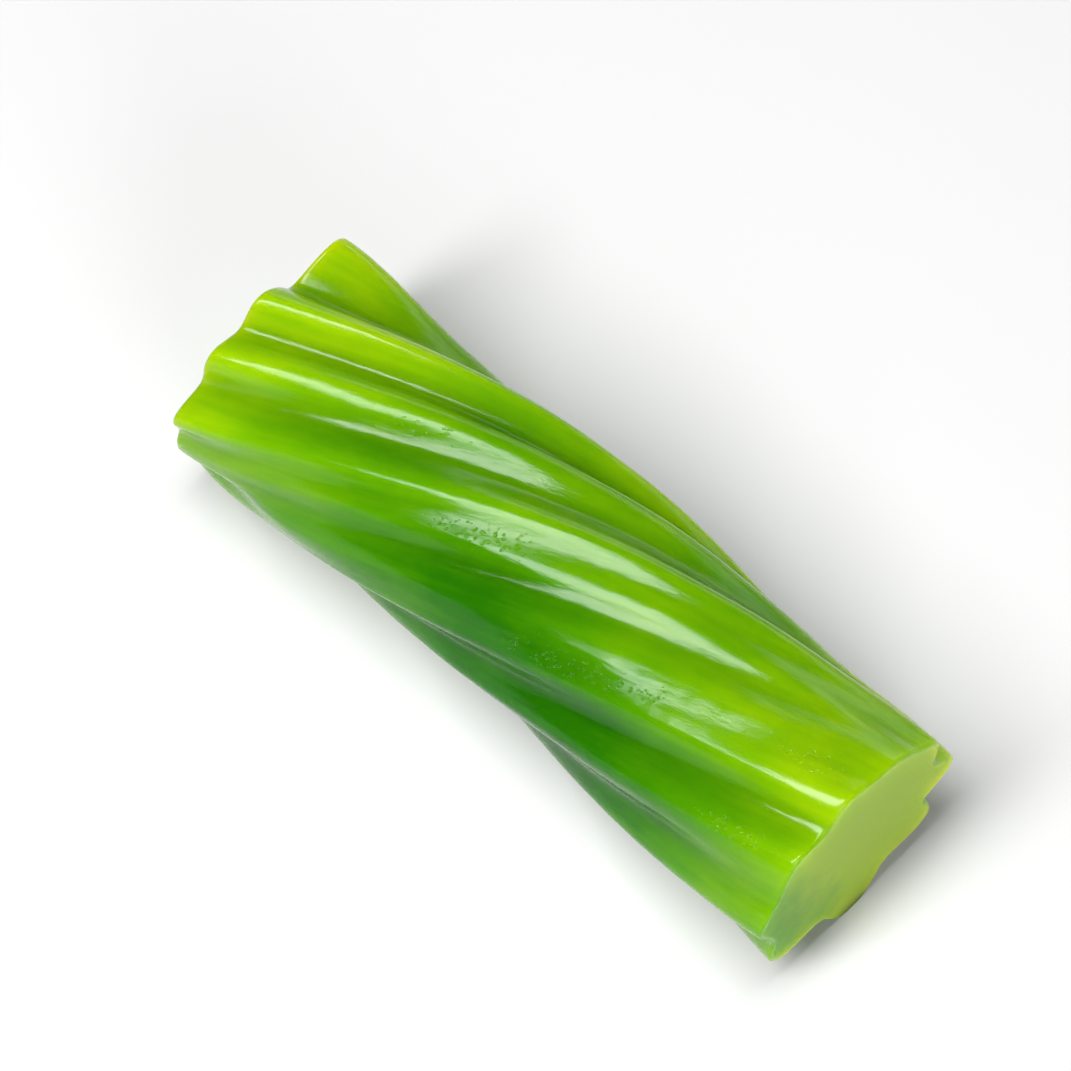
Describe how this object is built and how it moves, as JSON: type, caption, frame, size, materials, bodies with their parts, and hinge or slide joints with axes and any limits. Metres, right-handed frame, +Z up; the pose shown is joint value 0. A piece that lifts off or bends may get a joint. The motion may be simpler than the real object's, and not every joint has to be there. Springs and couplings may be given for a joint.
{
  "type": "licorice twist",
  "caption": "Short ribbed stick of soft green licorice, twisted to the left and cut at both ends, lying on its side.",
  "frame": {"origin": "bottom centre of the box, on the surface that the stick lies on", "axes": "+Z up, +X along the stick towards the cut end that shows in the picture"},
  "size_m": [0.0518, 0.0182, 0.0174],
  "materials": {
    "green_licorice": "glossy, translucent, soft sugar confectionery"
  },
  "bodies": {
    "root": {"licorice_twist": "green_licorice"}
  },
  "joints": []
}
